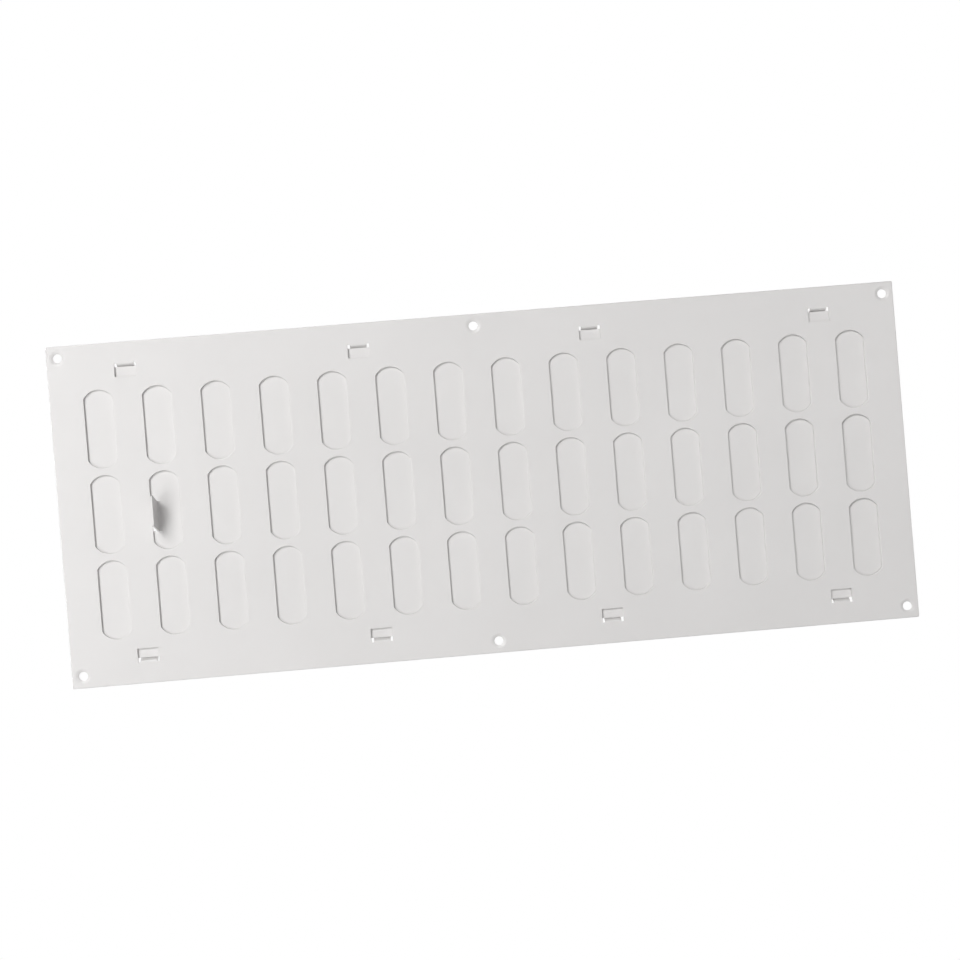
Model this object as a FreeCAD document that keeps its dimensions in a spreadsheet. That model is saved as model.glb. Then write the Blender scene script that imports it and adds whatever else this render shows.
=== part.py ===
# Sliding-shutter ventilation panel, pressed from two sheets.
#
# The front plate is a flat sheet with rows of round-ended slots, six dished screw holes and two
# rows of hooks lanced out of it. The hooks step back and carry the shutter, a second slotted
# sheet that slides along X behind the plate. A tongue lanced out of the shutter stands forward
# through one slot and is the finger grip. All sizes are in millimetres.
#
# The frame: X runs along the panel, Z is up, and -Y is the front. The origin is the centre of
# the plate's back face, which lies at Y = 0 against the wall.

import FreeCAD, Part
import Sketcher
import math
import os

doc = FreeCAD.newDocument("ventilation_panel")

# ---------------------------------------------------------------- driving dimensions

SIZES = [
    ("plate_length", 400.0, "front plate, along X"),
    ("plate_height", 160.0, "front plate, along Z"),
    ("plate_thickness", 1.0, "front plate sheet"),
    ("corner_radius", 0.6, "corners of the front plate"),
    ("edge_roll", 0.3, "rounding that the punch leaves on a slot's front edge"),
    ("slot_width", 13.5, "plate slot, along X"),
    ("slot_length", 36.7, "plate slot over its round ends"),
    ("slot_side", 29.0, "a plate slot's long sides, up to where the end arcs would meet them"),
    ("slot_corner", 1.2, "radius between a slot's side and its end arc, in both sheets"),
    ("column_web", 13.8, "sheet between two slots of a row"),
    ("row_bridge", 3.3, "sheet between two slots of a column"),
    ("end_margin", 15.0, "least sheet between the end slots and the plate's ends"),
    ("row_margin", 21.0, "least sheet between the outer rows and the plate's long edges"),
    ("screw_inset_x", 5.2, "screw hole centre from the plate's end"),
    ("screw_inset_z", 5.6, "screw hole centre from the plate's long edge"),
    ("screw_bore", 4.2, "screw hole, diameter"),
    ("screw_sink", 7.2, "dish around a screw hole, diameter at the front"),
    ("screw_sink_angle", 140.0, "opening angle of the dish, degrees"),
    ("hook_inset", 9.85, "plate's long edge to the outer side of a hook's window"),
    ("hook_width", 7.8, "hook, along X"),
    ("hook_notch", 1.1, "gap beside a hook, to the side of its window"),
    ("hook_window", 6.5, "window that a hook is lanced from, along Z"),
    ("hook_flat", 0.05, "flat stub between the window's outer side and the hook's first bend"),
    ("hook_joggle", 0.85, "length along Z of a hook's step back, corner to corner"),
    ("hook_reach", 5.0, "hook's whole length along Z"),
    ("hook_bend", 0.15, "inner radius of a hook's bends"),
    ("hook_every", 4.0, "columns from one hook to the next"),
    ("hook_margin", 30.0, "least distance from a hook's centre to the plate's end"),
    ("slide_gap", 0.15, "clearance on each face of the shutter"),
    ("shutter_thickness", 0.8, "shutter sheet"),
    ("shutter_edge_gap", 0.25, "mean clearance between a shutter edge and the hooks"),
    ("shutter_lift", 0.15, "how far the shutter stands above the middle of its play"),
    ("shutter_shift", 0.85, "closed shutter's slots, right of the middle of the plate's webs"),
    ("shutter_cover_left", 1.3, "shutter beyond the first column of slots"),
    ("shutter_cover_right", 2.1, "shutter beyond the last column of slots"),
    ("shutter_slot_width", 11.4, "shutter slot, along X"),
    ("shutter_slot_length", 34.7, "shutter slot over its round ends"),
    ("shutter_slot_side", 27.4, "a shutter slot's long sides, likewise"),
    ("tongue_gap", 2.05, "left side of its slot to the tongue, closed"),
    ("tongue_height", 10.0, "tongue's reach in front of the plate"),
    ("tongue_root", 14.4, "tongue along Z at its bend"),
    ("tongue_drop", 2.7, "bend's middle below the middle of its row of slots"),
    ("tongue_tip", 14.5, "tongue along Z at its free edge"),
    ("tongue_tip_lift", 3.1, "free edge's middle above the bend's middle"),
    ("tongue_corner", 1.6, "corner radius of the free edge"),
    ("tongue_bend", 1.0, "inner radius of the tongue's bend"),
    ("tongue_relief", 0.4, "gap at each end of the tongue's bend"),
]

sheet = doc.addObject("Spreadsheet::Sheet", "Dims")
for row, (name, value, meaning) in enumerate(SIZES, start=1):
    sheet.set(f"A{row}", name)
    sheet.set(f"B{row}", str(value))
    sheet.setAlias(f"B{row}", name)
    sheet.set(f"C{row}", meaning)
doc.recompute()

# What follows from the driving dimensions, as expressions that the features are bound to.
# Counts follow from the plate's size, so a longer panel has more columns.

COLUMN_PITCH = "(Dims.slot_width + Dims.column_web)"
ROW_PITCH = "(Dims.slot_length + Dims.row_bridge)"
COLUMNS = f"floor((Dims.plate_length - 2*Dims.end_margin + Dims.column_web)/{COLUMN_PITCH})"
ROWS = f"floor((Dims.plate_height - 2*Dims.row_margin + Dims.row_bridge)/{ROW_PITCH})"
FIRST_COLUMN = f"(-{COLUMN_PITCH}*({COLUMNS} - 1)/2)"
FIRST_ROW = f"(-{ROW_PITCH}*({ROWS} - 1)/2)"
GRIP_ROW = f"({FIRST_ROW} + {ROW_PITCH}*floor({ROWS}/2))"

HOOK_PITCH = f"(Dims.hook_every*{COLUMN_PITCH})"
HOOKS = f"(floor((Dims.plate_length - 2*Dims.hook_margin)/{HOOK_PITCH}) + 1)"
FIRST_HOOK = f"(-{HOOK_PITCH}*({HOOKS} - 1)/2)"
HOOK_ROOT = "(Dims.plate_height/2 - Dims.hook_inset)"
HOOK_STEP = "(Dims.plate_thickness + Dims.shutter_thickness + 2*Dims.slide_gap)"
# A hook's slope turns by an angle whose tangent is step over joggle. This is the tangent of
# half of that angle: a bend of radius r takes r times it along each side of its corner.
HALF_TURN = f"((sqrt({HOOK_STEP}^2 + Dims.hook_joggle^2) - Dims.hook_joggle)/{HOOK_STEP})"
OUTER_BEND = "(Dims.hook_bend + Dims.plate_thickness)"
HOOK_CORNER = f"({HOOK_ROOT} - Dims.hook_flat - {OUTER_BEND}*{HALF_TURN})"
HOOK_END = f"({HOOK_ROOT} - Dims.hook_reach)"

SHUTTER_BACK = "(Dims.slide_gap + Dims.shutter_thickness)"
SHUTTER_HEIGHT = f"(2*({HOOK_CORNER} - Dims.hook_joggle - Dims.shutter_edge_gap))"
SLOTS_HALF = f"({COLUMN_PITCH}*({COLUMNS} - 1)/2 + Dims.slot_width/2)"
SHUTTER_LEFT = f"(-{SLOTS_HALF} - Dims.shutter_cover_left - Dims.shutter_shift)"
SHUTTER_RIGHT = f"({SLOTS_HALF} + Dims.shutter_cover_right - Dims.shutter_shift)"
TONGUE_LEFT = (
    f"({FIRST_COLUMN} + {COLUMN_PITCH} - Dims.slot_width/2"
    " + Dims.tongue_gap - Dims.shutter_shift)"
)
TONGUE_RIGHT = f"({TONGUE_LEFT} + Dims.shutter_thickness)"
TONGUE_MIDDLE = f"({GRIP_ROW} - Dims.shutter_lift - Dims.tongue_drop)"
TONGUE_TOP = f"(Dims.plate_thickness + Dims.tongue_height + {SHUTTER_BACK})"


# ---------------------------------------------------------------- shared helpers

def value_of(expression):
    """The number that an expression has with the sheet's present sizes."""
    return float(sheet.evalExpression(expression))


def new_body(label):
    """A body whose Label names the sub-part and its file."""
    body = doc.addObject("PartDesign::Body", label)
    body.Label = label
    return body


def origin_feature(body, role):
    """One of the body's own origin planes or axes, found by its Role."""
    for feature in body.Origin.OriginFeatures:
        if feature.Role == role:
            return feature
    raise ValueError(role)


def sketch_on(body, role, name, x=None, y=None, z=None):
    """A sketch on an origin plane, its own origin offset by expressions.

    On XZ_Plane the sketch's x, y, z are the body's X, Z, -Y; on YZ_Plane they are Y, Z, X;
    on XY_Plane they are X, Y, Z.
    """
    sketch = body.newObject("Sketcher::SketchObject", name)
    sketch.AttachmentSupport = (origin_feature(body, role), [""])
    sketch.MapMode = "FlatFace"
    for axis, expression in (("x", x), ("y", y), ("z", z)):
        if expression is not None:
            sketch.setExpression(f"AttachmentOffset.Base.{axis}", expression)
    return sketch


def dimension(sketch, name, kind, where, expression):
    """Add a named dimension to a sketch and tie it to the sheet."""
    constraint = Sketcher.Constraint(kind, *where, value_of(expression))
    sketch.renameConstraint(sketch.addConstraint(constraint), name)
    sketch.setExpression(f"Constraints.{name}", expression)


def closed_lines(sketch, corners):
    """Lines through the corners, joined end to end; gives their indices."""
    points = [FreeCAD.Vector(x, y, 0) for x, y in corners]
    lines = []
    for start, end in zip(points, points[1:] + points[:1]):
        lines.append(sketch.addGeometry(Part.LineSegment(start, end), False))
    for line, following in zip(lines, lines[1:] + lines[:1]):
        sketch.addConstraint(Sketcher.Constraint("Coincident", line, 2, following, 1))
    return lines


def rectangle(sketch, width, height):
    """A rectangle centred on the sketch's origin."""
    half_w = value_of(width) / 2
    half_h = value_of(height) / 2
    corners = [(-half_w, -half_h), (half_w, -half_h), (half_w, half_h), (-half_w, half_h)]
    bottom, right, top, left = closed_lines(sketch, corners)
    for line in (bottom, top):
        sketch.addConstraint(Sketcher.Constraint("Horizontal", line))
    for line in (right, left):
        sketch.addConstraint(Sketcher.Constraint("Vertical", line))
    sketch.addConstraint(Sketcher.Constraint("Symmetric", bottom, 1, top, 1, -1, 1))
    dimension(sketch, "Width", "DistanceX", (bottom, 1, bottom, 2), width)
    dimension(sketch, "Height", "DistanceY", (right, 1, right, 2), height)


def slot_outline(sketch, width, length, side):
    """A slot centred on the sketch's origin: straight sides, and ends that are shallow arcs.

    An end arc over the width w that stands out by s has the radius (s*s + w*w/4) / (2*s). It
    would meet the side at an angle; a small corner arc, tangent to both, rounds the angle.
    """
    rise = f"(({length} - {side})/2)"
    radius = f"(({rise}*{rise} + {width}*{width}/4)/(2*{rise}))"
    half_w = value_of(width) / 2
    end_r = value_of(radius)
    centre_y = value_of(length) / 2 - end_r
    corner_r = value_of("Dims.slot_corner")
    corner_x = half_w - corner_r
    corner_y = centre_y + math.sqrt((end_r - corner_r) ** 2 - corner_x ** 2)
    reach = FreeCAD.Vector(corner_x, corner_y - centre_y, 0).normalize()
    on_side = FreeCAD.Vector(half_w, corner_y, 0)
    on_end = FreeCAD.Vector(0, centre_y, 0) + reach * end_r
    bisector = (reach + FreeCAD.Vector(1, 0, 0)).normalize()
    on_corner = FreeCAD.Vector(corner_x, corner_y, 0) + bisector * corner_r
    crown = FreeCAD.Vector(0, value_of(length) / 2, 0)

    def across(point):
        return FreeCAD.Vector(-point.x, point.y, 0)

    outline = [
        Part.LineSegment(-across(on_side), on_side),
        Part.Arc(on_side, on_corner, on_end),
        Part.Arc(on_end, crown, across(on_end)),
        Part.Arc(across(on_end), across(on_corner), across(on_side)),
        Part.LineSegment(across(on_side), -on_side),
        Part.Arc(-on_side, -on_corner, -on_end),
        Part.Arc(-on_end, -crown, -across(on_end)),
        Part.Arc(-across(on_end), -across(on_corner), -across(on_side)),
    ]
    edges = [sketch.addGeometry(edge, False) for edge in outline]
    for edge, following in zip(edges, edges[1:] + edges[:1]):
        sketch.addConstraint(Sketcher.Constraint("Tangent", edge, 2, following, 1))
    right, corner, top, _, left, _, bottom, _ = edges
    for line in (right, left):
        sketch.addConstraint(Sketcher.Constraint("Vertical", line))
    for end_arc in (top, bottom):
        sketch.addConstraint(Sketcher.Constraint("PointOnObject", end_arc, 3, -2))
    for other in edges[3::2]:
        sketch.addConstraint(Sketcher.Constraint("Equal", corner, other))
    sketch.addConstraint(Sketcher.Constraint("Equal", top, bottom))
    dimension(sketch, "EndRadius", "Radius", (top,), radius)
    dimension(sketch, "CornerRadius", "Radius", (corner,), "Dims.slot_corner")
    dimension(sketch, "Right", "DistanceX", (-1, 1, right, 2), f"{width}/2")
    dimension(sketch, "Left", "DistanceX", (-1, 1, left, 2), f"-{width}/2")
    dimension(sketch, "Top", "DistanceY", (-1, 1, top, 3), f"{length}/2 - {radius}")
    dimension(sketch, "Bottom", "DistanceY", (-1, 1, bottom, 3), f"{radius} - {length}/2")


def polygon(sketch, corners):
    """A closed outline whose corners are pairs of expressions, x then y."""
    lines = closed_lines(sketch, [(value_of(x), value_of(y)) for x, y in corners])
    for number, (line, (x, y)) in enumerate(zip(lines, corners)):
        dimension(sketch, f"X{number}", "DistanceX", (-1, 1, line, 1), x)
        dimension(sketch, f"Y{number}", "DistanceY", (-1, 1, line, 1), y)


def pad(body, sketch, name, length, midplane=False):
    """Add the sketch's outline, as thick as the expression says."""
    feature = body.newObject("PartDesign::Pad", name)
    feature.Profile = sketch
    feature.SideType = "Symmetric" if midplane else "One side"
    feature.setExpression("Length", length)
    return feature


def punch(body, sketch, name, through):
    """Cut the sketch's outline through the sheet below the sketch."""
    feature = body.newObject("PartDesign::Pocket", name)
    feature.Profile = sketch
    feature.setExpression("Length", through)
    return feature


def row_of(body, name, axis, step, count):
    """A linear pattern to be used inside a MultiTransform."""
    pattern = doc.addObject("PartDesign::LinearPattern", name)
    pattern.Direction = (origin_feature(body, axis), [""])
    pattern.Mode = "Spacing"
    pattern.setExpression("Offset", step)
    pattern.setExpression("Occurrences", count)
    return pattern


def repeat(body, features, name, steps):
    """Repeat features by one step after another, and make the result the body's tip."""
    pattern = body.newObject("PartDesign::MultiTransform", name)
    pattern.Originals = features
    pattern.Transformations = steps
    body.Tip = pattern
    return pattern


def grid(body, feature, name, x_step, x_count, z_step, z_count):
    """Repeat a feature along X and Z."""
    return repeat(body, [feature], name, [
        row_of(body, f"{name}AlongX", "X_Axis", x_step, x_count),
        row_of(body, f"{name}AlongZ", "Z_Axis", z_step, z_count),
    ])


def round_edges(body, base, name, chosen, radius):
    """Fillet the edges of the base feature that the test picks."""
    doc.recompute()
    names = [f"Edge{i}" for i, edge in enumerate(base.Shape.Edges, start=1) if chosen(edge)]
    if not names:
        raise ValueError(f"{name} finds no edge")
    feature = body.newObject("PartDesign::Fillet", name)
    feature.Base = (base, names)
    feature.setExpression("Radius", radius)
    body.Tip = feature
    return feature


def runs_along(edge, axis):
    """Whether an edge is a straight line along a unit vector."""
    if not isinstance(edge.Curve, Part.Line):
        return False
    return abs(abs(edge.Curve.Direction.dot(axis)) - 1) < 1e-6


# ---------------------------------------------------------------- front plate

plate = new_body("front_plate")
FRONT = "Dims.plate_thickness"

blank_sketch = sketch_on(plate, "XZ_Plane", "PlateOutline")
rectangle(blank_sketch, "Dims.plate_length", "Dims.plate_height")
blank = pad(plate, blank_sketch, "PlateBlank", "Dims.plate_thickness")
round_edges(
    plate, blank, "PlateCorners",
    lambda edge: runs_along(edge, FreeCAD.Vector(0, 1, 0)), "Dims.corner_radius",
)

screw_sketch = sketch_on(
    plate, "XZ_Plane", "ScrewCentre",
    "-(Dims.plate_length/2 - Dims.screw_inset_x)",
    "-(Dims.plate_height/2 - Dims.screw_inset_z)", FRONT,
)
circle = screw_sketch.addGeometry(
    Part.Circle(FreeCAD.Vector(0, 0, 0), FreeCAD.Vector(0, 0, 1), value_of("Dims.screw_bore/2")),
    False,
)
screw_sketch.addConstraint(Sketcher.Constraint("Coincident", circle, 3, -1, 1))
dimension(screw_sketch, "Bore", "Diameter", (circle,), "Dims.screw_bore")
doc.recompute()
screw_hole = plate.newObject("PartDesign::Hole", "ScrewHole")
screw_hole.Profile = screw_sketch
screw_hole.ThreadType = "None"
screw_hole.DepthType = "ThroughAll"
screw_hole.setExpression("Diameter", "Dims.screw_bore")
screw_hole.HoleCutType = "Countersink"
screw_hole.HoleCutCustomValues = True
screw_hole.setExpression("HoleCutDiameter", "Dims.screw_sink")
screw_hole.setExpression("HoleCutCountersinkAngle", "Dims.screw_sink_angle")
grid(
    plate, screw_hole, "ScrewHoles",
    "Dims.plate_length/2 - Dims.screw_inset_x", "3",
    "Dims.plate_height - 2*Dims.screw_inset_z", "2",
)

# A hook's window is cut first, then the hook is added from the window's outer side. Both are
# repeated along the top edge and mirrored to the bottom edge.
window_sketch = sketch_on(
    plate, "XZ_Plane", "HookWindowOutline",
    FIRST_HOOK, f"{HOOK_ROOT} - Dims.hook_window/2", FRONT,
)
rectangle(window_sketch, "Dims.hook_width + 2*Dims.hook_notch", "Dims.hook_window")
window = punch(plate, window_sketch, "HookWindow", "Dims.plate_thickness")

# Side view of a hook: a strip of the sheet that leaves the plate, slopes back behind the
# shutter and runs on along it. Its corners are drawn sharp, and the bends are filleted later.
# In the sketch, x is the panel's Y and y its Z.
SLOPE_SHIFT = f"(Dims.plate_thickness*{HALF_TURN})"
hook_sides = [
    ("-Dims.plate_thickness", HOOK_ROOT),
    ("-Dims.plate_thickness", HOOK_CORNER),
    (f"({HOOK_STEP} - Dims.plate_thickness)", f"({HOOK_CORNER} - Dims.hook_joggle)"),
    (f"({HOOK_STEP} - Dims.plate_thickness)", HOOK_END),
    (HOOK_STEP, HOOK_END),
    (HOOK_STEP, f"({HOOK_CORNER} - Dims.hook_joggle + {SLOPE_SHIFT})"),
    ("0", f"({HOOK_CORNER} + {SLOPE_SHIFT})"),
    ("0", HOOK_ROOT),
]
hook_sketch = sketch_on(plate, "YZ_Plane", "HookProfile", z=FIRST_HOOK)
polygon(hook_sketch, hook_sides)
hook = pad(plate, hook_sketch, "Hook", "Dims.hook_width", midplane=True)

both_edges = doc.addObject("PartDesign::Mirrored", "HooksAtBothEdges")
both_edges.MirrorPlane = (origin_feature(plate, "XY_Plane"), [""])
hooks = repeat(plate, [window, hook], "Hooks", [
    row_of(plate, "HooksAlongEdge", "X_Axis", HOOK_PITCH, HOOKS),
    both_edges,
])


def bend_test(corner_numbers):
    """A test for the hooks' bend lines at some corners of their side view."""
    places = [tuple(value_of(part) for part in hook_sides[i]) for i in corner_numbers]

    def on_bend(edge):
        if not runs_along(edge, FreeCAD.Vector(1, 0, 0)):
            return False
        middle = edge.CenterOfMass
        return any(
            abs(middle.y - y) < 1e-4 and abs(abs(middle.z) - z) < 1e-4 for y, z in places
        )

    return on_bend


outer_bends = round_edges(plate, hooks, "HookOuterBends", bend_test((1, 5)), OUTER_BEND)
round_edges(
    plate, outer_bends, "HookInnerBends", bend_test((2, 6)), "Dims.hook_bend",
)

slot_sketch = sketch_on(plate, "XZ_Plane", "SlotOutline", FIRST_COLUMN, FIRST_ROW, FRONT)
slot_outline(slot_sketch, "Dims.slot_width", "Dims.slot_length", "Dims.slot_side")
slot = punch(plate, slot_sketch, "Slot", "Dims.plate_thickness")
slots = grid(plate, slot, "Slots", COLUMN_PITCH, COLUMNS, ROW_PITCH, ROWS)
doc.recompute()

front_y = -value_of("Dims.plate_thickness")
field_x = value_of(SLOTS_HALF)
field_z = value_of(f"-{FIRST_ROW} + Dims.slot_length/2")


def on_slot_rim(edge):
    """Whether an edge of the plate lies in the front face and in the field of slots."""
    middle = edge.CenterOfMass
    in_field = abs(middle.x) < field_x + 1e-3 and abs(middle.z) < field_z + 1e-3
    return in_field and abs(middle.y - front_y) < 1e-4


# The punch draws the sheet in at the front of each slot.
round_edges(
    plate, slots, "SlotEdges", on_slot_rim, "min(Dims.edge_roll; 0.4*Dims.plate_thickness)",
)

# ---------------------------------------------------------------- shutter plate

# The shutter is drawn about the panel's middle with its back face at Y = 0, and its Placement
# puts it between the plate and the hooks.
shutter = new_body("shutter_plate")
shutter.setExpression("Placement.Base.x", "Dims.shutter_shift")
shutter.setExpression("Placement.Base.y", SHUTTER_BACK)
shutter.setExpression("Placement.Base.z", "Dims.shutter_lift")
SHUTTER_FRONT = "Dims.shutter_thickness"
SLOT_MIDDLE = f"({FIRST_COLUMN} + {COLUMN_PITCH}/2)"

leaf_sketch = sketch_on(
    shutter, "XZ_Plane", "ShutterOutline", x=f"({SHUTTER_LEFT} + {SHUTTER_RIGHT})/2",
)
rectangle(leaf_sketch, f"({SHUTTER_RIGHT} - {SHUTTER_LEFT})", SHUTTER_HEIGHT)
pad(shutter, leaf_sketch, "ShutterBlank", "Dims.shutter_thickness")

opening_sketch = sketch_on(
    shutter, "XZ_Plane", "ShutterSlotOutline",
    SLOT_MIDDLE, f"{FIRST_ROW} - Dims.shutter_lift", SHUTTER_FRONT,
)
slot_outline(
    opening_sketch,
    "Dims.shutter_slot_width", "Dims.shutter_slot_length", "Dims.shutter_slot_side",
)
opening = punch(shutter, opening_sketch, "ShutterSlot", "Dims.shutter_thickness")
grid(
    shutter, opening, "ShutterSlots", COLUMN_PITCH, f"{COLUMNS} - 1", ROW_PITCH, ROWS,
)

# The tongue is lanced from the slot between the first two columns, with its bend in the web.
# The cuts at its ends slope as its edges do.
BEND_END = f"({TONGUE_RIGHT} + Dims.tongue_bend)"
BEND_DEPTH = "(Dims.shutter_thickness + Dims.tongue_bend)"
BLADE_REACH = f"({TONGUE_TOP} - {BEND_DEPTH})"
LANCE_REACH = f"({BEND_END} - {SLOT_MIDDLE})"
LANCE_HALF = "(Dims.tongue_root/2 + Dims.tongue_relief)"
LANCE_LIFT = f"(Dims.tongue_tip_lift*{LANCE_REACH}/{BLADE_REACH})"
lance_sketch = sketch_on(
    shutter, "XZ_Plane", "TongueLance", BEND_END, TONGUE_MIDDLE, SHUTTER_FRONT,
)
polygon(lance_sketch, [
    ("0", f"-{LANCE_HALF}"),
    ("0", LANCE_HALF),
    (f"-{LANCE_REACH}", f"({LANCE_LIFT} + {LANCE_HALF})"),
    (f"-{LANCE_REACH}", f"({LANCE_LIFT} - {LANCE_HALF})"),
])
punch(shutter, lance_sketch, "TongueWindow", "Dims.shutter_thickness")

# Seen from above, the bend is a quarter ring about the sketch's origin.
bend_sketch = sketch_on(
    shutter, "XY_Plane", "TongueBendProfile", BEND_END, f"-{BEND_DEPTH}", TONGUE_MIDDLE,
)
bend_r = value_of("Dims.tongue_bend")
bend_t = value_of("Dims.shutter_thickness")
up = FreeCAD.Vector(0, 0, 1)
middle = FreeCAD.Vector(0, 0, 0)
rings = []
for radius in (bend_r, bend_r + bend_t):
    ring = Part.ArcOfCircle(Part.Circle(middle, up, radius), math.pi / 2, math.pi)
    rings.append(bend_sketch.addGeometry(ring, False))
    bend_sketch.addConstraint(Sketcher.Constraint("Coincident", rings[-1], 3, -1, 1))
inner, outer = rings
web_side = bend_sketch.addGeometry(
    Part.LineSegment(FreeCAD.Vector(0, bend_r, 0), FreeCAD.Vector(0, bend_r + bend_t, 0)), False,
)
blade_side = bend_sketch.addGeometry(
    Part.LineSegment(FreeCAD.Vector(-bend_r, 0, 0), FreeCAD.Vector(-bend_r - bend_t, 0, 0)),
    False,
)
for line, position in ((web_side, 1), (blade_side, 2)):
    bend_sketch.addConstraint(Sketcher.Constraint("Coincident", line, 1, inner, position))
    bend_sketch.addConstraint(Sketcher.Constraint("Coincident", line, 2, outer, position))
bend_sketch.addConstraint(Sketcher.Constraint("PointOnObject", web_side, 1, -2))
bend_sketch.addConstraint(Sketcher.Constraint("Vertical", web_side))
bend_sketch.addConstraint(Sketcher.Constraint("PointOnObject", blade_side, 1, -1))
bend_sketch.addConstraint(Sketcher.Constraint("Horizontal", blade_side))
dimension(bend_sketch, "InnerRadius", "Radius", (inner,), "Dims.tongue_bend")
dimension(bend_sketch, "OuterRadius", "Radius", (outer,), BEND_DEPTH)
pad(shutter, bend_sketch, "TongueBend", "Dims.tongue_root", midplane=True)

# The blade stands forward from the bend, and its free edge lies a little higher than the bend.
blade_sketch = sketch_on(
    shutter, "YZ_Plane", "TongueOutline", f"-{BEND_DEPTH}", TONGUE_MIDDLE, TONGUE_LEFT,
)
polygon(blade_sketch, [
    ("0", "-Dims.tongue_root/2"),
    ("0", "Dims.tongue_root/2"),
    (f"-{BLADE_REACH}", "(Dims.tongue_tip_lift + Dims.tongue_tip/2)"),
    (f"-{BLADE_REACH}", "(Dims.tongue_tip_lift - Dims.tongue_tip/2)"),
])
blade = pad(shutter, blade_sketch, "TongueBlade", "Dims.shutter_thickness")
tip_y = -value_of(TONGUE_TOP)


def on_tongue_corner(edge):
    """Whether an edge of the shutter is a corner of the tongue's free edge."""
    across = runs_along(edge, FreeCAD.Vector(1, 0, 0))
    return across and abs(edge.CenterOfMass.y - tip_y) < 1e-4


round_edges(shutter, blade, "TongueCorners", on_tongue_corner, "Dims.tongue_corner")

# ---------------------------------------------------------------- checks and files

doc.recompute()
for item in doc.Objects:
    if "Invalid" in item.State or "Error" in item.State:
        raise RuntimeError(f"{item.Label} failed: {item.State}")
    base = getattr(item, "BaseFeature", None)
    if base is None or item.TypeId == "PartDesign::Body":
        continue
    change = item.Shape.Volume - base.Shape.Volume
    if item.TypeId in ("PartDesign::Pocket", "PartDesign::Hole") and change > -1e-3:
        raise RuntimeError(f"{item.Label} cuts nothing")
    if item.TypeId == "PartDesign::Pad" and change < 1e-3:
        raise RuntimeError(f"{item.Label} adds nothing")

os.makedirs("parts", exist_ok=True)
for body in (plate, shutter):
    shape = body.Shape
    if shape.isNull() or not shape.isValid() or len(shape.Solids) != 1:
        raise RuntimeError(f"{body.Label} is not one valid solid")
    shape.exportStep(f"parts/{body.Label}.step")
    box = shape.BoundBox
    print(
        f"{body.Label}: {shape.Volume:.1f} mm3,",
        f"X {box.XMin:.2f} to {box.XMax:.2f},",
        f"Y {box.YMin:.2f} to {box.YMax:.2f},",
        f"Z {box.ZMin:.2f} to {box.ZMax:.2f}",
    )
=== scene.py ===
import math

import bpy
import numpy as np
from mathutils import Matrix, Vector
from mathutils.geometry import delaunay_2d_cdt


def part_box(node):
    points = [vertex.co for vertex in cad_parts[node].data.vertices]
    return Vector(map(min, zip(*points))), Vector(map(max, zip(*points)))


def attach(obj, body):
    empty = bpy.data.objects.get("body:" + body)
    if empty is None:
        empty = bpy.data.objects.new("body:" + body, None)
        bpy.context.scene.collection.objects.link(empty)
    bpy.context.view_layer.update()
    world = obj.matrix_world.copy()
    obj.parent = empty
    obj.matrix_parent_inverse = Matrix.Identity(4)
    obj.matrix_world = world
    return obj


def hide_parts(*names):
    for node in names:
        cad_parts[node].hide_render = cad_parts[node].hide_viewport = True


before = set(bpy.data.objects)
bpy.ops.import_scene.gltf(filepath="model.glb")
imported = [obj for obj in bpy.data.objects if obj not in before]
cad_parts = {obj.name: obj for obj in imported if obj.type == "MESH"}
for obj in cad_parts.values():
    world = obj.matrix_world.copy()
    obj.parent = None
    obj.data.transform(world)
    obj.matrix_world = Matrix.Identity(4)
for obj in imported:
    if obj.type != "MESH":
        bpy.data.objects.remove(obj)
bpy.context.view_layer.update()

MM = 0.001


# ---------------------------------------------------------------------------
# The view. The panel hangs upright, and a 50 mm lens looks at it from a little over half a metre,
# turned about its own axis so that the panel lies across the picture at a slight slope.

EYE = (-20.0 * MM, -628.1 * MM, 1.9 * MM)
LOOK_TURN = math.radians(-1.582)
LOOK_TILT = math.radians(-0.008)
LOOK_ROLL = math.radians(4.704)

lens = bpy.data.cameras.new("view")
lens.lens = 50.0
lens.sensor_width = 36.0
camera = bpy.data.objects.new("view", lens)
level = Matrix.Rotation(math.pi / 2, 4, "X")
turned = (
    Matrix.Rotation(LOOK_TURN, 4, "Z")
    @ Matrix.Rotation(LOOK_TILT, 4, "X")
    @ Matrix.Rotation(LOOK_ROLL, 4, "Y")
)
camera.matrix_world = Matrix.Translation(EYE) @ turned @ level
bpy.context.scene.collection.objects.link(camera)
bpy.context.scene.camera = camera
bpy.context.scene.view_settings.view_transform = "Standard"


# ---------------------------------------------------------------------------
# Front plate: one sheet of 1 mm steel, punched with three rows of round-ended slots and six
# dished screw holes, with eight hooks lanced out of it and set back, then powder coated.
# It is worked out as a flat pattern, and the hooks are bent afterwards.

plate_low, plate_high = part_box("front_plate")
PLATE_SHEET = 1.0 * MM
PLATE_CORNER = 0.6 * MM
COLUMNS = 14
ROWS = 3
SLOT_WIDTH = 13.5 * MM
SLOT_LENGTH = 36.7 * MM
SLOT_SIDE = 29.0 * MM
SLOT_CORNER = 1.2 * MM
COLUMN_PITCH = 27.3 * MM
ROW_PITCH = 40.0 * MM
SCREW_INSET_X = 5.2 * MM
SCREW_INSET_Z = 5.6 * MM
SCREW_BORE = 4.2 * MM
DISH_WIDTH = 1.6 * MM
DISH_DEPTH = 0.5 * MM
DISH_LIP = 0.1 * MM
DISH_MARGIN = 0.3 * MM
PUNCH_ROLL = 0.30 * MM
LANCE_BREAK = 0.09 * MM
RIM_ROLL = 0.45 * MM
BACK_BREAK = 0.06 * MM
FACE_SUPPORT = 0.12 * MM

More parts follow.
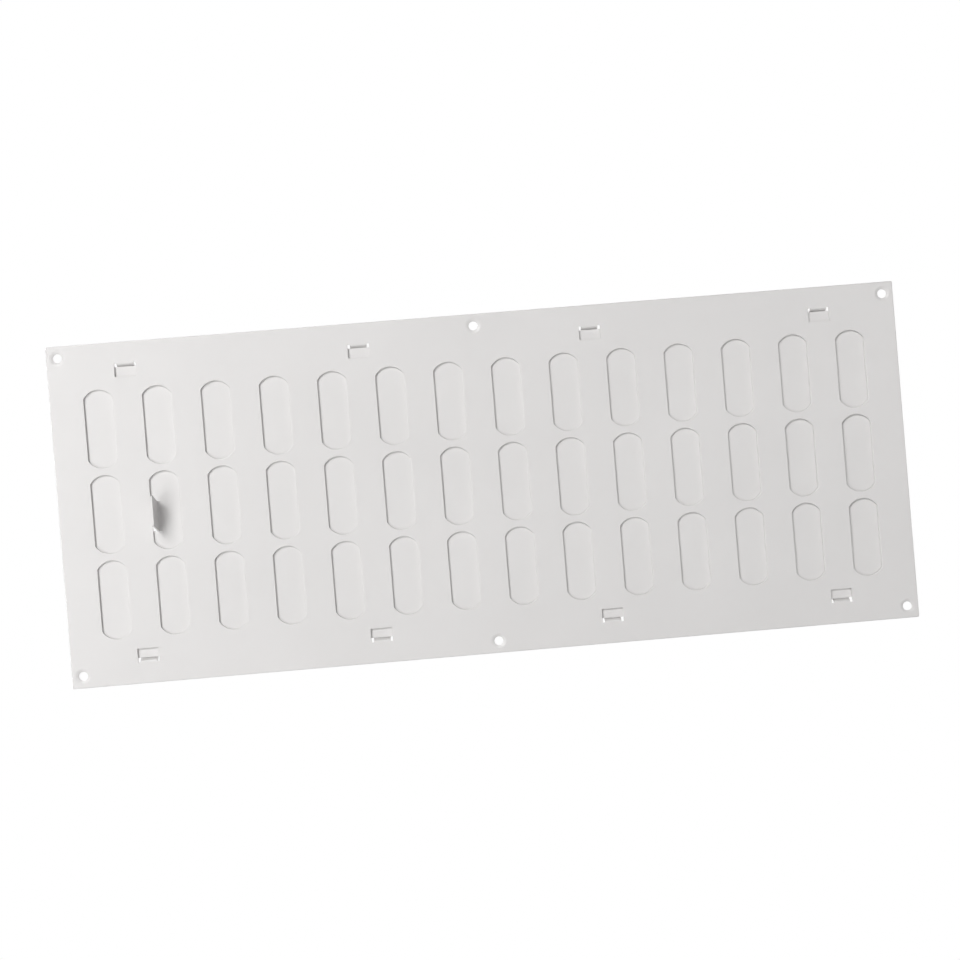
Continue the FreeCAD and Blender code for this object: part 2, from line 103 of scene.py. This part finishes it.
HOOKS = 4
HOOK_INSET = 9.85 * MM
HOOK_WIDTH = 7.8 * MM
HOOK_NOTCH = 1.1 * MM
HOOK_WINDOW = 6.5 * MM
HOOK_FLAT = 0.05 * MM
HOOK_JOGGLE = 0.85 * MM
HOOK_STEP = 2.1 * MM
HOOK_REACH = 5.0 * MM
HOOK_BEND = 0.15 * MM
HOOK_PITCH = 4 * COLUMN_PITCH
WINDOW_CORNER = 0.25 * MM
HOOK_TIP_CORNER = 0.5 * MM

hook_root = plate_high.z - HOOK_INSET
column_x = (np.arange(COLUMNS) - (COLUMNS - 1) / 2) * COLUMN_PITCH
row_z = (np.arange(ROWS) - (ROWS - 1) / 2) * ROW_PITCH


def rounded_path(corners, steps=5):
    """A closed path through corners, each a row of x, z and radius, and its unit normals.

    Where the path turns by an angle a, its arc of radius r starts r*tan(a/2) before the corner,
    and the heading turns evenly along it. The normals point to the right of the heading. A
    corner of radius 0 is one point, for a place where the path runs straight on.
    """
    table = np.array(corners, float)
    spots, radii = table[:, :2], table[:, 2]
    ahead = np.roll(spots, -1, axis=0) - spots
    ahead /= np.linalg.norm(ahead, axis=1, keepdims=True)
    behind = np.roll(ahead, 1, axis=0)
    cross = behind[:, 0] * ahead[:, 1] - behind[:, 1] * ahead[:, 0]
    turn = np.arctan2(cross, (behind * ahead).sum(axis=1))
    points, normals = [], []
    for spot, arriving, leaving, angle, radius in zip(spots, behind, ahead, turn, radii):
        if radius == 0:
            points.append(spot[None])
            normals.append(np.array([[leaving[1], -leaving[0]]]))
            continue
        heading = math.atan2(arriving[1], arriving[0]) + angle * np.linspace(0, 1, steps + 1)
        side = np.stack([np.sin(heading), -np.cos(heading)], axis=1)
        start = spot - arriving * radius * abs(math.tan(angle / 2))
        centre = start - side[0] * radius * np.sign(angle)
        points.append(centre + side * radius * np.sign(angle))
        normals.append(side)
    return np.concatenate(points), np.concatenate(normals)


def slot_path(x, z, width, length, side):
    """A slot's outline, counter-clockwise, and its outward normals.

    Each end is a shallow arc, joined to the straight sides by a small corner arc that is
    tangent to both. An end arc over the width w that stands out by s has the radius
    (s*s + w*w/4) / (2*s). On every arc a point is centre + radius * (cos, sin), and the points
    where two arcs meet are given once, by the corner arcs.
    """
    rise = (length - side) / 2
    end_radius = (rise * rise + width * width / 4) / (2 * rise)
    end_centre = length / 2 - end_radius
    corner_x = width / 2 - SLOT_CORNER
    corner_z = end_centre + math.sqrt((end_radius - SLOT_CORNER) ** 2 - corner_x ** 2)
    swing = math.atan2(corner_z - end_centre, corner_x)
    arcs = [
        (corner_x, corner_z, SLOT_CORNER, np.linspace(0.0, swing, 7)),
        (0.0, end_centre, end_radius, np.linspace(swing, math.pi - swing, 15)[1:-1]),
        (-corner_x, corner_z, SLOT_CORNER, np.linspace(math.pi - swing, math.pi, 7)),
    ]
    points, normals = [], []
    for half_turn in (1, -1):
        for centre_x, centre_z, radius, angle in arcs:
            out = np.stack([np.cos(angle), np.sin(angle)], axis=1) * half_turn
            points.append(np.array([centre_x, centre_z]) * half_turn + out * radius)
            normals.append(out)
    return np.concatenate(points) + np.array([x, z]), np.concatenate(normals)


def ring_path(x, z, radius, count=48):
    """A circle, counter-clockwise: centre + radius * (cos, sin), with its outward normals."""
    angle = np.arange(count) * 2 * math.pi / count
    out = np.stack([np.cos(angle), np.sin(angle)], axis=1)
    return np.array([x, z]) + out * radius, out


def back_edge(thickness):
    """The last part of every cut edge, as rows of inset and depth.

    A small quarter circle of radius b breaks the back edge: inset b * (1 - sin), and
    b * (1 - cos) short of the back face. The last row lies in that face and keeps it flat where
    the shading is smoothed.
    """
    angle = np.linspace(0, math.pi / 2, 6)
    rows = np.stack([1 - np.sin(angle), 1 - np.cos(angle)], axis=1)[::-1] * BACK_BREAK
    rows[:, 1] = thickness - rows[:, 1]
    return np.concatenate([rows, [[BACK_BREAK + FACE_SUPPORT, thickness]]])


def edge_profile(thickness, roll):
    """How a cut edge runs from the front face to the back face, as rows of inset and depth.

    The inset is measured from the cut wall into the sheet. A quarter ellipse draws the front
    edge in: inset r * (1 - sin), depth 0.8 * r * (1 - cos). Then comes the straight wall and the
    back edge. The first row lies in the front face and keeps it flat.
    """
    angle = np.linspace(0, math.pi / 2, 6)
    front = np.stack([roll * (1 - np.sin(angle)), 0.8 * roll * (1 - np.cos(angle))], axis=1)
    return np.concatenate([[[roll + FACE_SUPPORT, 0.0]], front, back_edge(thickness)])


def dish_profile(thickness):
    """A screw hole's section, as rows of inset and depth, the inset being measured from the bore.

    The dish has depth D * (1 - x)^1.5, with x from 0 at the bore to 1 outside, and a quarter
    circle of the lip's radius turns it into the bore's wall.
    """
    share = np.linspace(1, 0, 13)
    dish = np.stack([DISH_WIDTH * share, DISH_DEPTH * (1 - share) ** 1.5], axis=1)
    dish = dish[dish[:, 0] > 1.5 * DISH_LIP]
    angle = np.linspace(0, math.pi / 2, 5)
    lip = np.stack([1 - np.sin(angle), 1 - np.cos(angle)], axis=1) * DISH_LIP
    lip[:, 1] += DISH_DEPTH
    return np.concatenate([[[DISH_WIDTH + DISH_MARGIN, 0.0]], dish, lip, back_edge(thickness)])


def bend_strip(distance, depth, thickness, bends):
    """Where a strip's points go when the strip is bent.

    bends has rows of start, radius of the sheet's middle, and angle, positive towards the back.
    The heading of the middle turns evenly through each bend, and the running sums of its cosine
    and sine are the middle's place. A point stands off the middle by depth - thickness/2.
    Gives how far each point lies along the old direction, and its depth.
    """
    knots, headings = [0.0], [0.0]
    for start, radius, angle in bends:
        knots += [start, start + radius * abs(angle)]
        headings += [headings[-1], headings[-1] + angle]
    steps = np.linspace(0, max(distance.max(), knots[-1]), 4001)
    heading = np.interp(steps, knots, headings)
    gap = np.diff(steps, prepend=0.0)
    between = np.interp(steps - gap / 2, knots, headings)
    along = np.interp(distance, steps, np.cumsum(np.cos(between) * gap))
    sunk = np.interp(distance, steps, np.cumsum(np.sin(between) * gap))
    turned = np.interp(distance, steps, heading)
    off = depth - thickness / 2
    return along - np.sin(turned) * off, thickness / 2 + sunk + np.cos(turned) * off


def inside(spots, points, links):
    """Which spots lie in the sheet: a line from there to +x crosses the outlines an odd number
    of times."""
    start, end = points[links[:, 0]], points[links[:, 1]]
    x, z = spots[:, 0, None], spots[:, 1, None]
    spans = (start[:, 1] > z) != (end[:, 1] > z)
    rise = np.where(start[:, 1] == end[:, 1], 1.0, end[:, 1] - start[:, 1])
    cross = start[:, 0] + (z - start[:, 1]) * (end[:, 0] - start[:, 0]) / rise
    return (spans & (cross > x)).sum(axis=1) % 2 == 1


def sheet_mesh(name, loops, place):
    """A closed sheet bounded by loops, each a tuple of points, normals, profile and tab mark.

    Every loop is carried along its profile: ring k is points + inset_k * normals at depth_k.
    The first rings bound the front face and the last rings the back face, and both faces are
    filled by one Delaunay triangulation of the flat pattern, less the triangles in its holes.
    place turns flat points and depths into positions, and the marked points of a loop belong to
    a tab that it may bend.
    """
    blocks, quads, borders, backs, pattern = [], [], [], [], []
    base = 0
    for points, normals, profile, tab in loops:
        rings, count = len(profile), len(points)
        flat = points[None] + normals[None] * profile[:, 0, None, None]
        depth = np.repeat(profile[:, 1, None], count, axis=1)
        blocks.append(place(flat, depth, np.broadcast_to(tab, depth.shape)).reshape(-1, 3))
        index = base + np.arange(rings * count).reshape(rings, count)
        beside = np.roll(index, -1, axis=1)
        quads.append(np.stack([index[:-1], beside[:-1], beside[1:], index[1:]], -1).reshape(-1, 4))
        borders.append(index[0])
        backs.append(index[-1])
        pattern.append(flat[0])
        base += rings * count
    lengths = [len(border) for border in borders]
    starts = np.concatenate([[0], np.cumsum(lengths)[:-1]])
    links = np.concatenate([
        np.stack([first + np.arange(size), first + np.roll(np.arange(size), -1)], axis=1)
        for first, size in zip(starts, lengths)
    ])
    scaled = np.concatenate(pattern) / MM
    spots = [Vector(spot) for spot in scaled.tolist()]
    found = delaunay_2d_cdt(spots, links.tolist(), [], 2, 1e-6)
    origin = np.array([sources[0] for sources in found[3]])
    fills = origin[np.array(found[2])]
    fills = fills[inside(scaled[fills].mean(axis=1), scaled, links)]
    corners = scaled[fills]
    ab, ac = corners[:, 1] - corners[:, 0], corners[:, 2] - corners[:, 0]
    clockwise = ab[:, 0] * ac[:, 1] - ab[:, 1] * ac[:, 0] < 0
    fills[clockwise] = fills[clockwise][:, ::-1]
    front = np.concatenate(borders)[fills]
    back = np.concatenate(backs)[fills][:, ::-1]
    mesh = bpy.data.meshes.new(name)
    faces = front.tolist() + back.tolist() + np.concatenate(quads).tolist()
    mesh.from_pydata(np.concatenate(blocks).tolist(), [], faces)
    mesh.polygons.foreach_set("use_smooth", [True] * len(mesh.polygons))
    mesh.update()
    sheet = bpy.data.objects.new(name, mesh)
    bpy.context.scene.collection.objects.link(sheet)
    return sheet


# A hook leaves its root, bends back by hook_turn, runs down a slope, bends forward again by the
# same angle and ends flat. Lengths are taken along the middle of the sheet.
hook_turn = math.atan2(HOOK_STEP, HOOK_JOGGLE)
hook_middle = HOOK_BEND + PLATE_SHEET / 2
hook_slope = (
    math.hypot(HOOK_STEP, HOOK_JOGGLE)
    - (2 * HOOK_BEND + PLATE_SHEET) * math.tan(hook_turn / 2)
)
hook_arc = hook_middle * hook_turn
hook_bends = [
    (HOOK_FLAT, hook_middle, hook_turn),
    (HOOK_FLAT + hook_arc + hook_slope, hook_middle, -hook_turn),
]
hook_end_flat = (
    HOOK_REACH - HOOK_FLAT
    - 2 * hook_middle * math.sin(hook_turn) - hook_slope * math.cos(hook_turn)
)
hook_length = HOOK_FLAT + 2 * hook_arc + hook_slope + hook_end_flat


def hook_window(x):
    """The outline of a hook's window in the flat sheet, with the hook standing into it.

    The window is a rectangle with rounded corners, and the hook stands down into it from the
    root. Its sides have seven points evenly along each bend. Gives points, normals and a mark
    for the points that belong to the hook.
    """
    left, right = x - HOOK_WIDTH / 2, x + HOOK_WIDTH / 2
    outer_left, outer_right = left - HOOK_NOTCH, right + HOOK_NOTCH
    inner_z, tip_z = hook_root - HOOK_WINDOW, hook_root - hook_length
    first = HOOK_FLAT + np.linspace(0, 1, 7) * hook_arc
    stations = np.concatenate([first, first + hook_arc + hook_slope])
    stations = stations[stations > WINDOW_CORNER * 1.2]
    down = [(right, hook_root - station, 0.0) for station in stations]
    up = [(left, hook_root - station, 0.0) for station in stations[::-1]]
    corners = [
        (outer_left, inner_z, WINDOW_CORNER), (outer_right, inner_z, WINDOW_CORNER),
        (outer_right, hook_root, WINDOW_CORNER), (right, hook_root, WINDOW_CORNER), *down,
        (right, tip_z, HOOK_TIP_CORNER), (left, tip_z, HOOK_TIP_CORNER), *up,
        (left, hook_root, WINDOW_CORNER), (outer_left, hook_root, WINDOW_CORNER),
    ]
    points, normals = rounded_path(corners)
    on_hook = np.abs(points[:, 0] - x) < HOOK_WIDTH / 2 + 1.01 * WINDOW_CORNER
    above_tip = points[:, 1] > tip_z - 0.01 * MM
    return points, normals, on_hook & above_tip


def place_plate(flat, depth, tab):
    """The plate's flat pattern in space, with the hooks bent back from their roots."""
    distance = np.where(tab, hook_root - np.abs(flat[..., 1]), 0.0)
    along, sunk = bend_strip(np.clip(distance, 0, None), depth, PLATE_SHEET, hook_bends)
    bent = tab & (distance > 0)
    z = np.where(bent, np.sign(flat[..., 1]) * (hook_root - along), flat[..., 1])
    y = plate_low.y + np.where(bent, sunk, depth)
    return np.stack([flat[..., 0], y, z], axis=-1)


punched = edge_profile(PLATE_SHEET, PUNCH_ROLL)
sheared = edge_profile(PLATE_SHEET, LANCE_BREAK)
rim = edge_profile(PLATE_SHEET, RIM_ROLL)
plate_corners = [
    (plate_low.x, plate_low.z, PLATE_CORNER), (plate_low.x, plate_high.z, PLATE_CORNER),
    (plate_high.x, plate_high.z, PLATE_CORNER), (plate_high.x, plate_low.z, PLATE_CORNER),
]
plate_loops = [(*rounded_path(plate_corners), rim, False)]
for x in column_x:
    for z in row_z:
        outline = slot_path(x, z, SLOT_WIDTH, SLOT_LENGTH, SLOT_SIDE)
        plate_loops.append((*outline, punched, False))
screw_x = plate_high.x - SCREW_INSET_X
screw_z = plate_high.z - SCREW_INSET_Z
for x in (-screw_x, 0.0, screw_x):
    for z in (-screw_z, screw_z):
        plate_loops.append((*ring_path(x, z, SCREW_BORE / 2), dish_profile(PLATE_SHEET), False))
mirror = np.array([1.0, -1.0])
for x in (np.arange(HOOKS) - (HOOKS - 1) / 2) * HOOK_PITCH:
    points, normals, tab = hook_window(x)
    plate_loops.append((points, normals, sheared, tab))
    plate_loops.append(((points * mirror)[::-1], (normals * mirror)[::-1], sheared, tab[::-1]))
plate = sheet_mesh("plate_sheet", plate_loops, place_plate)
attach(plate, "plate")
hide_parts("front_plate")


def powder_skin_group():
    """What a baked powder coat adds to any sheet: its orange peel, and slightly uneven cover.

    Height = fine grain + half a slow wave, both smooth noise in Object coordinates. Color is the
    given colour times 1 +- Shade * a slow noise, and Roughness varies by Satin about its value.
    """
    group = bpy.data.node_groups.new("powder_skin", "ShaderNodeTree")
    for label, kind, value in (
        ("Color", "NodeSocketColor", (0.8, 0.8, 0.8, 1.0)),
        ("Shade", "NodeSocketFloat", 0.02),
        ("Roughness", "NodeSocketFloat", 0.45),
        ("Satin", "NodeSocketFloat", 0.05),
        ("Grain Size", "NodeSocketFloat", 0.4 * MM),
        ("Wave Size", "NodeSocketFloat", 2.4 * MM),
        ("Cloud Size", "NodeSocketFloat", 55.0 * MM),
    ):
        socket = group.interface.new_socket(label, in_out="INPUT", socket_type=kind)
        socket.default_value = value
    for label, kind in (
        ("Color", "NodeSocketColor"), ("Roughness", "NodeSocketFloat"), ("Height", "NodeSocketFloat"),
    ):
        group.interface.new_socket(label, in_out="OUTPUT", socket_type=kind)
    nodes, links = group.nodes, group.links
    given = nodes.new("NodeGroupInput")
    result = nodes.new("NodeGroupOutput")
    spot = nodes.new("ShaderNodeTexCoord")

    def noise(size_label, detail):
        """Smooth noise about 0.5 whose bumps are as wide as the named input says."""
        per_metre = nodes.new("ShaderNodeMath")
        per_metre.operation = "DIVIDE"
        per_metre.inputs[0].default_value = 1.0
        links.new(given.outputs[size_label], per_metre.inputs[1])
        pattern = nodes.new("ShaderNodeTexNoise")
        pattern.inputs["Detail"].default_value = detail
        links.new(spot.outputs["Object"], pattern.inputs["Vector"])
        links.new(per_metre.outputs[0], pattern.inputs["Scale"])
        return pattern.outputs["Fac"]

    def spread(value, amount_label, middle, rate):
        """middle + amount * (value - 0.5) * rate"""
        centred = nodes.new("ShaderNodeMath")
        centred.operation = "MULTIPLY_ADD"
        centred.inputs[1].default_value = rate
        centred.inputs[2].default_value = -0.5 * rate
        links.new(value, centred.inputs[0])
        total = nodes.new("ShaderNodeMath")
        total.operation = "MULTIPLY_ADD"
        links.new(centred.outputs[0], total.inputs[0])
        links.new(given.outputs[amount_label], total.inputs[1])
        if isinstance(middle, float):
            total.inputs[2].default_value = middle
        else:
            links.new(middle, total.inputs[2])
        return total.outputs[0]

    grain = noise("Grain Size", 1.0)
    wave = noise("Wave Size", 1.0)
    cloud = noise("Cloud Size", 3.0)
    height = nodes.new("ShaderNodeMath")
    height.operation = "MULTIPLY_ADD"
    height.inputs[1].default_value = 0.5
    links.new(wave, height.inputs[0])
    links.new(grain, height.inputs[2])
    links.new(height.outputs[0], result.inputs["Height"])
    shaded = nodes.new("ShaderNodeVectorMath")
    shaded.operation = "SCALE"
    links.new(given.outputs["Color"], shaded.inputs[0])
    links.new(spread(cloud, "Shade", 1.0, 4.0), shaded.inputs["Scale"])
    links.new(shaded.outputs[0], result.inputs["Color"])
    links.new(spread(wave, "Satin", given.outputs["Roughness"], 4.0), result.inputs["Roughness"])
    return group


def powder_coat(name, color, roughness, peel_depth):
    """Satin polyester powder coat: the skin group feeds the shader's colour, gloss and bump."""
    material = bpy.data.materials.new(name)
    material.use_nodes = True
    nodes, links = material.node_tree.nodes, material.node_tree.links
    shader = nodes["Principled BSDF"]
    shader.inputs["IOR"].default_value = 1.5
    skin = nodes.new("ShaderNodeGroup")
    skin.node_tree = powder_skin
    skin.inputs["Color"].default_value = (*color, 1.0)
    skin.inputs["Roughness"].default_value = roughness
    peel = nodes.new("ShaderNodeBump")
    peel.inputs["Distance"].default_value = peel_depth
    links.new(skin.outputs["Color"], shader.inputs["Base Color"])
    links.new(skin.outputs["Roughness"], shader.inputs["Roughness"])
    links.new(skin.outputs["Height"], peel.inputs["Height"])
    links.new(peel.outputs["Normal"], shader.inputs["Normal"])
    return material


WHITE_COAT = (0.71, 0.697, 0.69)
PEEL_DEPTH = 0.012 * MM
PLATE_ROUGHNESS = 0.38

powder_skin = powder_skin_group()
plate.data.materials.append(powder_coat("plate_coating", WHITE_COAT, PLATE_ROUGHNESS, PEEL_DEPTH))


# ---------------------------------------------------------------------------
# Shutter: a second punched sheet, 0.8 mm thick, that slides between the plate and its hooks.
# Its slots lie behind the plate's webs when it is closed. The finger tongue is lanced out of the
# web beside the first slot of the middle row and bent forward through the plate.

shutter_low, shutter_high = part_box("shutter_plate")
SHUTTER_SHEET = 0.8 * MM
SHUTTER_SLOT_WIDTH = 11.4 * MM
SHUTTER_SLOT_LENGTH = 34.7 * MM
SHUTTER_SLOT_SIDE = 27.4 * MM
SHUTTER_SHIFT = 0.85 * MM
SHUTTER_CORNER = 0.3 * MM
SHUTTER_ROUGHNESS = 0.40
TONGUE_GAP = 2.05 * MM
TONGUE_ROOT = 14.4 * MM
TONGUE_DROP = 2.7 * MM
TONGUE_TIP = 14.5 * MM
TONGUE_TIP_LIFT = 3.1 * MM
TONGUE_CORNER = 1.6 * MM
TONGUE_BEND = 1.0 * MM
TONGUE_RELIEF = 0.15 * MM
LANCE_CORNER = 0.3 * MM
CUP_START = 115.0 * MM
CUP_DEPTH = 0.6 * MM

shutter_front = shutter_high.y - SHUTTER_SHEET
tongue_side = column_x[1] - SLOT_WIDTH / 2 + TONGUE_GAP + SHUTTER_SHEET
tongue_bend_x = tongue_side + TONGUE_BEND
tongue_middle = TONGUE_BEND + SHUTTER_SHEET / 2
tongue_blade = shutter_front - TONGUE_BEND - shutter_low.y
tongue_length = tongue_middle * math.pi / 2 + tongue_blade


def tongue_slot(x, z):
    """The first slot of the middle row, with the tongue that is cut out of the web beside it.

    The slot's outline is opened on its right side. From there the lance cuts run to the bend, a
    relief away from the tongue, and the tongue reaches back from the bend to its tip, whose
    ends stand higher than the bend's by the lift. It has eight points evenly along its bend.
    Gives points, normals and a mark for the points that belong to the tongue.
    """
    points, normals = slot_path(x, z, SHUTTER_SLOT_WIDTH, SHUTTER_SLOT_LENGTH, SHUTTER_SLOT_SIDE)
    side = x + SHUTTER_SLOT_WIDTH / 2
    low, high = -TONGUE_DROP - TONGUE_ROOT / 2, -TONGUE_DROP + TONGUE_ROOT / 2
    arc = tongue_middle * math.pi / 2
    knee = tongue_bend_x - arc
    rise = TONGUE_TIP_LIFT / tongue_blade * (knee - side)
    tip_x = tongue_bend_x - tongue_length
    tip_low = -TONGUE_DROP + TONGUE_TIP_LIFT - TONGUE_TIP / 2
    tip_high = tip_low + TONGUE_TIP
    turns = np.linspace(0.1, 1, 9) * arc
    there = [(tongue_bend_x - turn, low, 0.0) for turn in turns[1:]]
    back = [(tongue_bend_x - turn, high, 0.0) for turn in turns[:0:-1]]
    cut = 0.4 * TONGUE_RELIEF
    corners = [
        (side, z - SHUTTER_SLOT_SIDE / 2, 0.0),
        (side, low - TONGUE_RELIEF + rise, LANCE_CORNER), (knee, low - TONGUE_RELIEF, 0.0),
        (tongue_bend_x, low - TONGUE_RELIEF, cut), (tongue_bend_x, low, cut), *there,
        (tip_x, tip_low, TONGUE_CORNER), (tip_x, tip_high, TONGUE_CORNER), *back,
        (tongue_bend_x, high, cut), (tongue_bend_x, high + TONGUE_RELIEF, cut),
        (knee, high + TONGUE_RELIEF, 0.0), (side, high + TONGUE_RELIEF + rise, LANCE_CORNER),
        (side, z + SHUTTER_SLOT_SIDE / 2, 0.0),
    ]
    lanced, lanced_normals = rounded_path(corners, steps=8)
    at_low = np.hypot(*(lanced - np.array([tongue_bend_x, low])).T) < 1.1 * cut
    at_high = np.hypot(*(lanced - np.array([tongue_bend_x, high])).T) < 1.1 * cut
    tab = np.zeros(len(lanced) - 1 + len(points), bool)
    tab[np.flatnonzero(at_low)[0]:np.flatnonzero(at_high)[-1] + 1] = True
    return (
        np.concatenate([lanced[:-1], points]),
        np.concatenate([lanced_normals[:-1], normals]),
        tab,
    )


def place_shutter(flat, depth, tab):
    """The shutter's flat pattern in space: the tongue bent forward, the right end cupped back.

    The cup's depth grows as the square of the distance past its start, and falls to nothing at
    the long edges, which the hooks hold.
    """
    distance = np.where(tab, tongue_bend_x - flat[..., 0], 0.0)
    bends = [(0.0, tongue_middle, -math.pi / 2)]
    along, sunk = bend_strip(np.clip(distance, 0, None), depth, SHUTTER_SHEET, bends)
    bent = tab & (distance > 0)
    x = np.where(bent, tongue_bend_x - along, flat[..., 0])
    past = np.clip((flat[..., 0] - CUP_START) / (shutter_high.x - CUP_START), 0, 1)
    across = 1 - (flat[..., 1] / shutter_high.z) ** 2
    cup = CUP_DEPTH * past ** 2 * np.clip(across, 0, 1)
    y = shutter_front + np.where(bent, sunk, depth) + cup
    return np.stack([x, y, flat[..., 1]], axis=-1)


thin_cut = edge_profile(SHUTTER_SHEET, LANCE_BREAK)
leaf_corners = [
    (shutter_low.x, shutter_low.z, SHUTTER_CORNER), (shutter_low.x, shutter_high.z, SHUTTER_CORNER),
    (shutter_high.x, shutter_high.z, SHUTTER_CORNER), (shutter_high.x, shutter_low.z, SHUTTER_CORNER),
]
shutter_loops = [(*rounded_path(leaf_corners), thin_cut, False)]
for x in column_x[:-1] + COLUMN_PITCH / 2 + SHUTTER_SHIFT:
    for z in row_z:
        if x < column_x[1] and z == 0:
            points, normals, tab = tongue_slot(x, z)
            shutter_loops.append((points, normals, thin_cut, tab))
            continue
        outline = slot_path(x, z, SHUTTER_SLOT_WIDTH, SHUTTER_SLOT_LENGTH, SHUTTER_SLOT_SIDE)
        shutter_loops.append((*outline, thin_cut, False))
shutter = sheet_mesh("shutter_sheet", shutter_loops, place_shutter)
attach(shutter, "shutter")
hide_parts("shutter_plate")
shutter_coat = powder_coat("shutter_coating", WHITE_COAT, SHUTTER_ROUGHNESS, PEEL_DEPTH)
shutter.data.materials.append(shutter_coat)


# ---------------------------------------------------------------------------
# The studio: pale paper on the floor well below the hung panel, and soft lamps in front of it and
# behind it. Under the panel the paper keeps its shadow, and further off it runs out to white.

FLOOR_DROP = 0.45
FLOOR_HALF = 6.0
PAPER_COLOR = (0.9, 0.9, 0.9, 1.0)
PAPER_ROUGHNESS = 0.9
PAPER_EDGE = (0.40, 0.60)
PAPER_WHITENESS = 0.5
WHITE = (1.0, 1.0, 1.0, 1.0)

floor_mesh = bpy.data.meshes.new("floor")
floor_corners = [
    (-FLOOR_HALF, -FLOOR_HALF, -FLOOR_DROP), (FLOOR_HALF, -FLOOR_HALF, -FLOOR_DROP),
    (FLOOR_HALF, FLOOR_HALF, -FLOOR_DROP), (-FLOOR_HALF, FLOOR_HALF, -FLOOR_DROP),
]
floor_mesh.from_pydata(floor_corners, [], [(0, 1, 2, 3)])
floor = bpy.data.objects.new("floor", floor_mesh)
bpy.context.scene.collection.objects.link(floor)


def seen_share(nodes, links):
    """1 for a ray from the camera, a glossy surface or through glass, and 0 for any other."""
    rays = nodes.new("ShaderNodeLightPath")
    total = rays.outputs["Is Camera Ray"]
    for label in ("Is Glossy Ray", "Is Transmission Ray"):
        either = nodes.new("ShaderNodeMath")
        either.operation = "MAXIMUM"
        links.new(total, either.inputs[0])
        links.new(rays.outputs[label], either.inputs[1])
        total = either.outputs[0]
    return total


paper = bpy.data.materials.new("floor_paper")
paper.use_nodes = True
nodes, links = paper.node_tree.nodes, paper.node_tree.links
matt = nodes["Principled BSDF"]
matt.inputs["Base Color"].default_value = PAPER_COLOR
matt.inputs["Roughness"].default_value = PAPER_ROUGHNESS
glow = nodes.new("ShaderNodeEmission")
glow.inputs["Strength"].default_value = 1.0
spot = nodes.new("ShaderNodeTexCoord")
across = nodes.new("ShaderNodeVectorMath")
across.operation = "MULTIPLY"
across.inputs[1].default_value = (1.0, 1.0, 0.0)
away = nodes.new("ShaderNodeVectorMath")
away.operation = "LENGTH"
whiten = nodes.new("ShaderNodeMapRange")
whiten.interpolation_type = "SMOOTHSTEP"
whiten.inputs["From Min"].default_value = PAPER_EDGE[0]
whiten.inputs["From Max"].default_value = PAPER_EDGE[1]
whiten.inputs["To Min"].default_value = PAPER_WHITENESS
whiten.inputs["To Max"].default_value = 1.0
share = nodes.new("ShaderNodeMath")
share.operation = "MULTIPLY"
blend = nodes.new("ShaderNodeMixShader")
links.new(spot.outputs["Object"], across.inputs[0])
links.new(across.outputs["Vector"], away.inputs[0])
links.new(away.outputs["Value"], whiten.inputs["Value"])
links.new(whiten.outputs["Result"], share.inputs[0])
links.new(seen_share(nodes, links), share.inputs[1])
links.new(share.outputs[0], blend.inputs[0])
links.new(matt.outputs[0], blend.inputs[1])
links.new(glow.outputs[0], blend.inputs[2])
links.new(blend.outputs[0], nodes["Material Output"].inputs["Surface"])
floor.data.materials.append(paper)

# The world gives the object no light of its own. It is white only where it is seen.
world = bpy.data.worlds.new("studio")
world.use_nodes = True
bpy.context.scene.world = world
nodes, links = world.node_tree.nodes, world.node_tree.links
unlit = nodes["Background"]
unlit.inputs["Strength"].default_value = 0.0
white = nodes.new("ShaderNodeBackground")
white.inputs["Color"].default_value = WHITE
white.inputs["Strength"].default_value = 1.0
blend = nodes.new("ShaderNodeMixShader")
links.new(seen_share(nodes, links), blend.inputs[0])
links.new(unlit.outputs[0], blend.inputs[1])
links.new(white.outputs[0], blend.inputs[2])
links.new(blend.outputs[0], nodes["World Output"].inputs["Surface"])


def soft_lamp(name, place, width, height, power, spread=180.0):
    """A soft box turned to the panel, which lights it without being seen itself."""
    light = bpy.data.lights.new(name, "AREA")
    light.shape = "RECTANGLE"
    light.size = width
    light.size_y = height
    light.energy = power
    light.spread = math.radians(spread)
    box = bpy.data.objects.new(name, light)
    box.location = place
    box.rotation_euler = (-Vector(place)).to_track_quat("-Z", "Y").to_euler()
    box.visible_camera = False
    bpy.context.scene.collection.objects.link(box)


# The key stands up to the left, the side lamp picks out the left edges, the fill opens the
# shadows from the right, and two narrow lamps light the back.
soft_lamp("key", (-1.1, -2.4, 1.6), 1.2, 1.2, 55.0)
soft_lamp("side", (-0.56, -0.65, -0.1), 0.35, 1.2, 3.2)
soft_lamp("fill", (1.3, -2.4, 0.3), 1.2, 1.2, 8.0)
soft_lamp("behind_left", (-1.2, 1.5, -0.1), 1.0, 1.0, 3.4, 60.0)
soft_lamp("behind_right", (1.4, 1.3, -0.1), 1.0, 1.0, 1.4, 60.0)
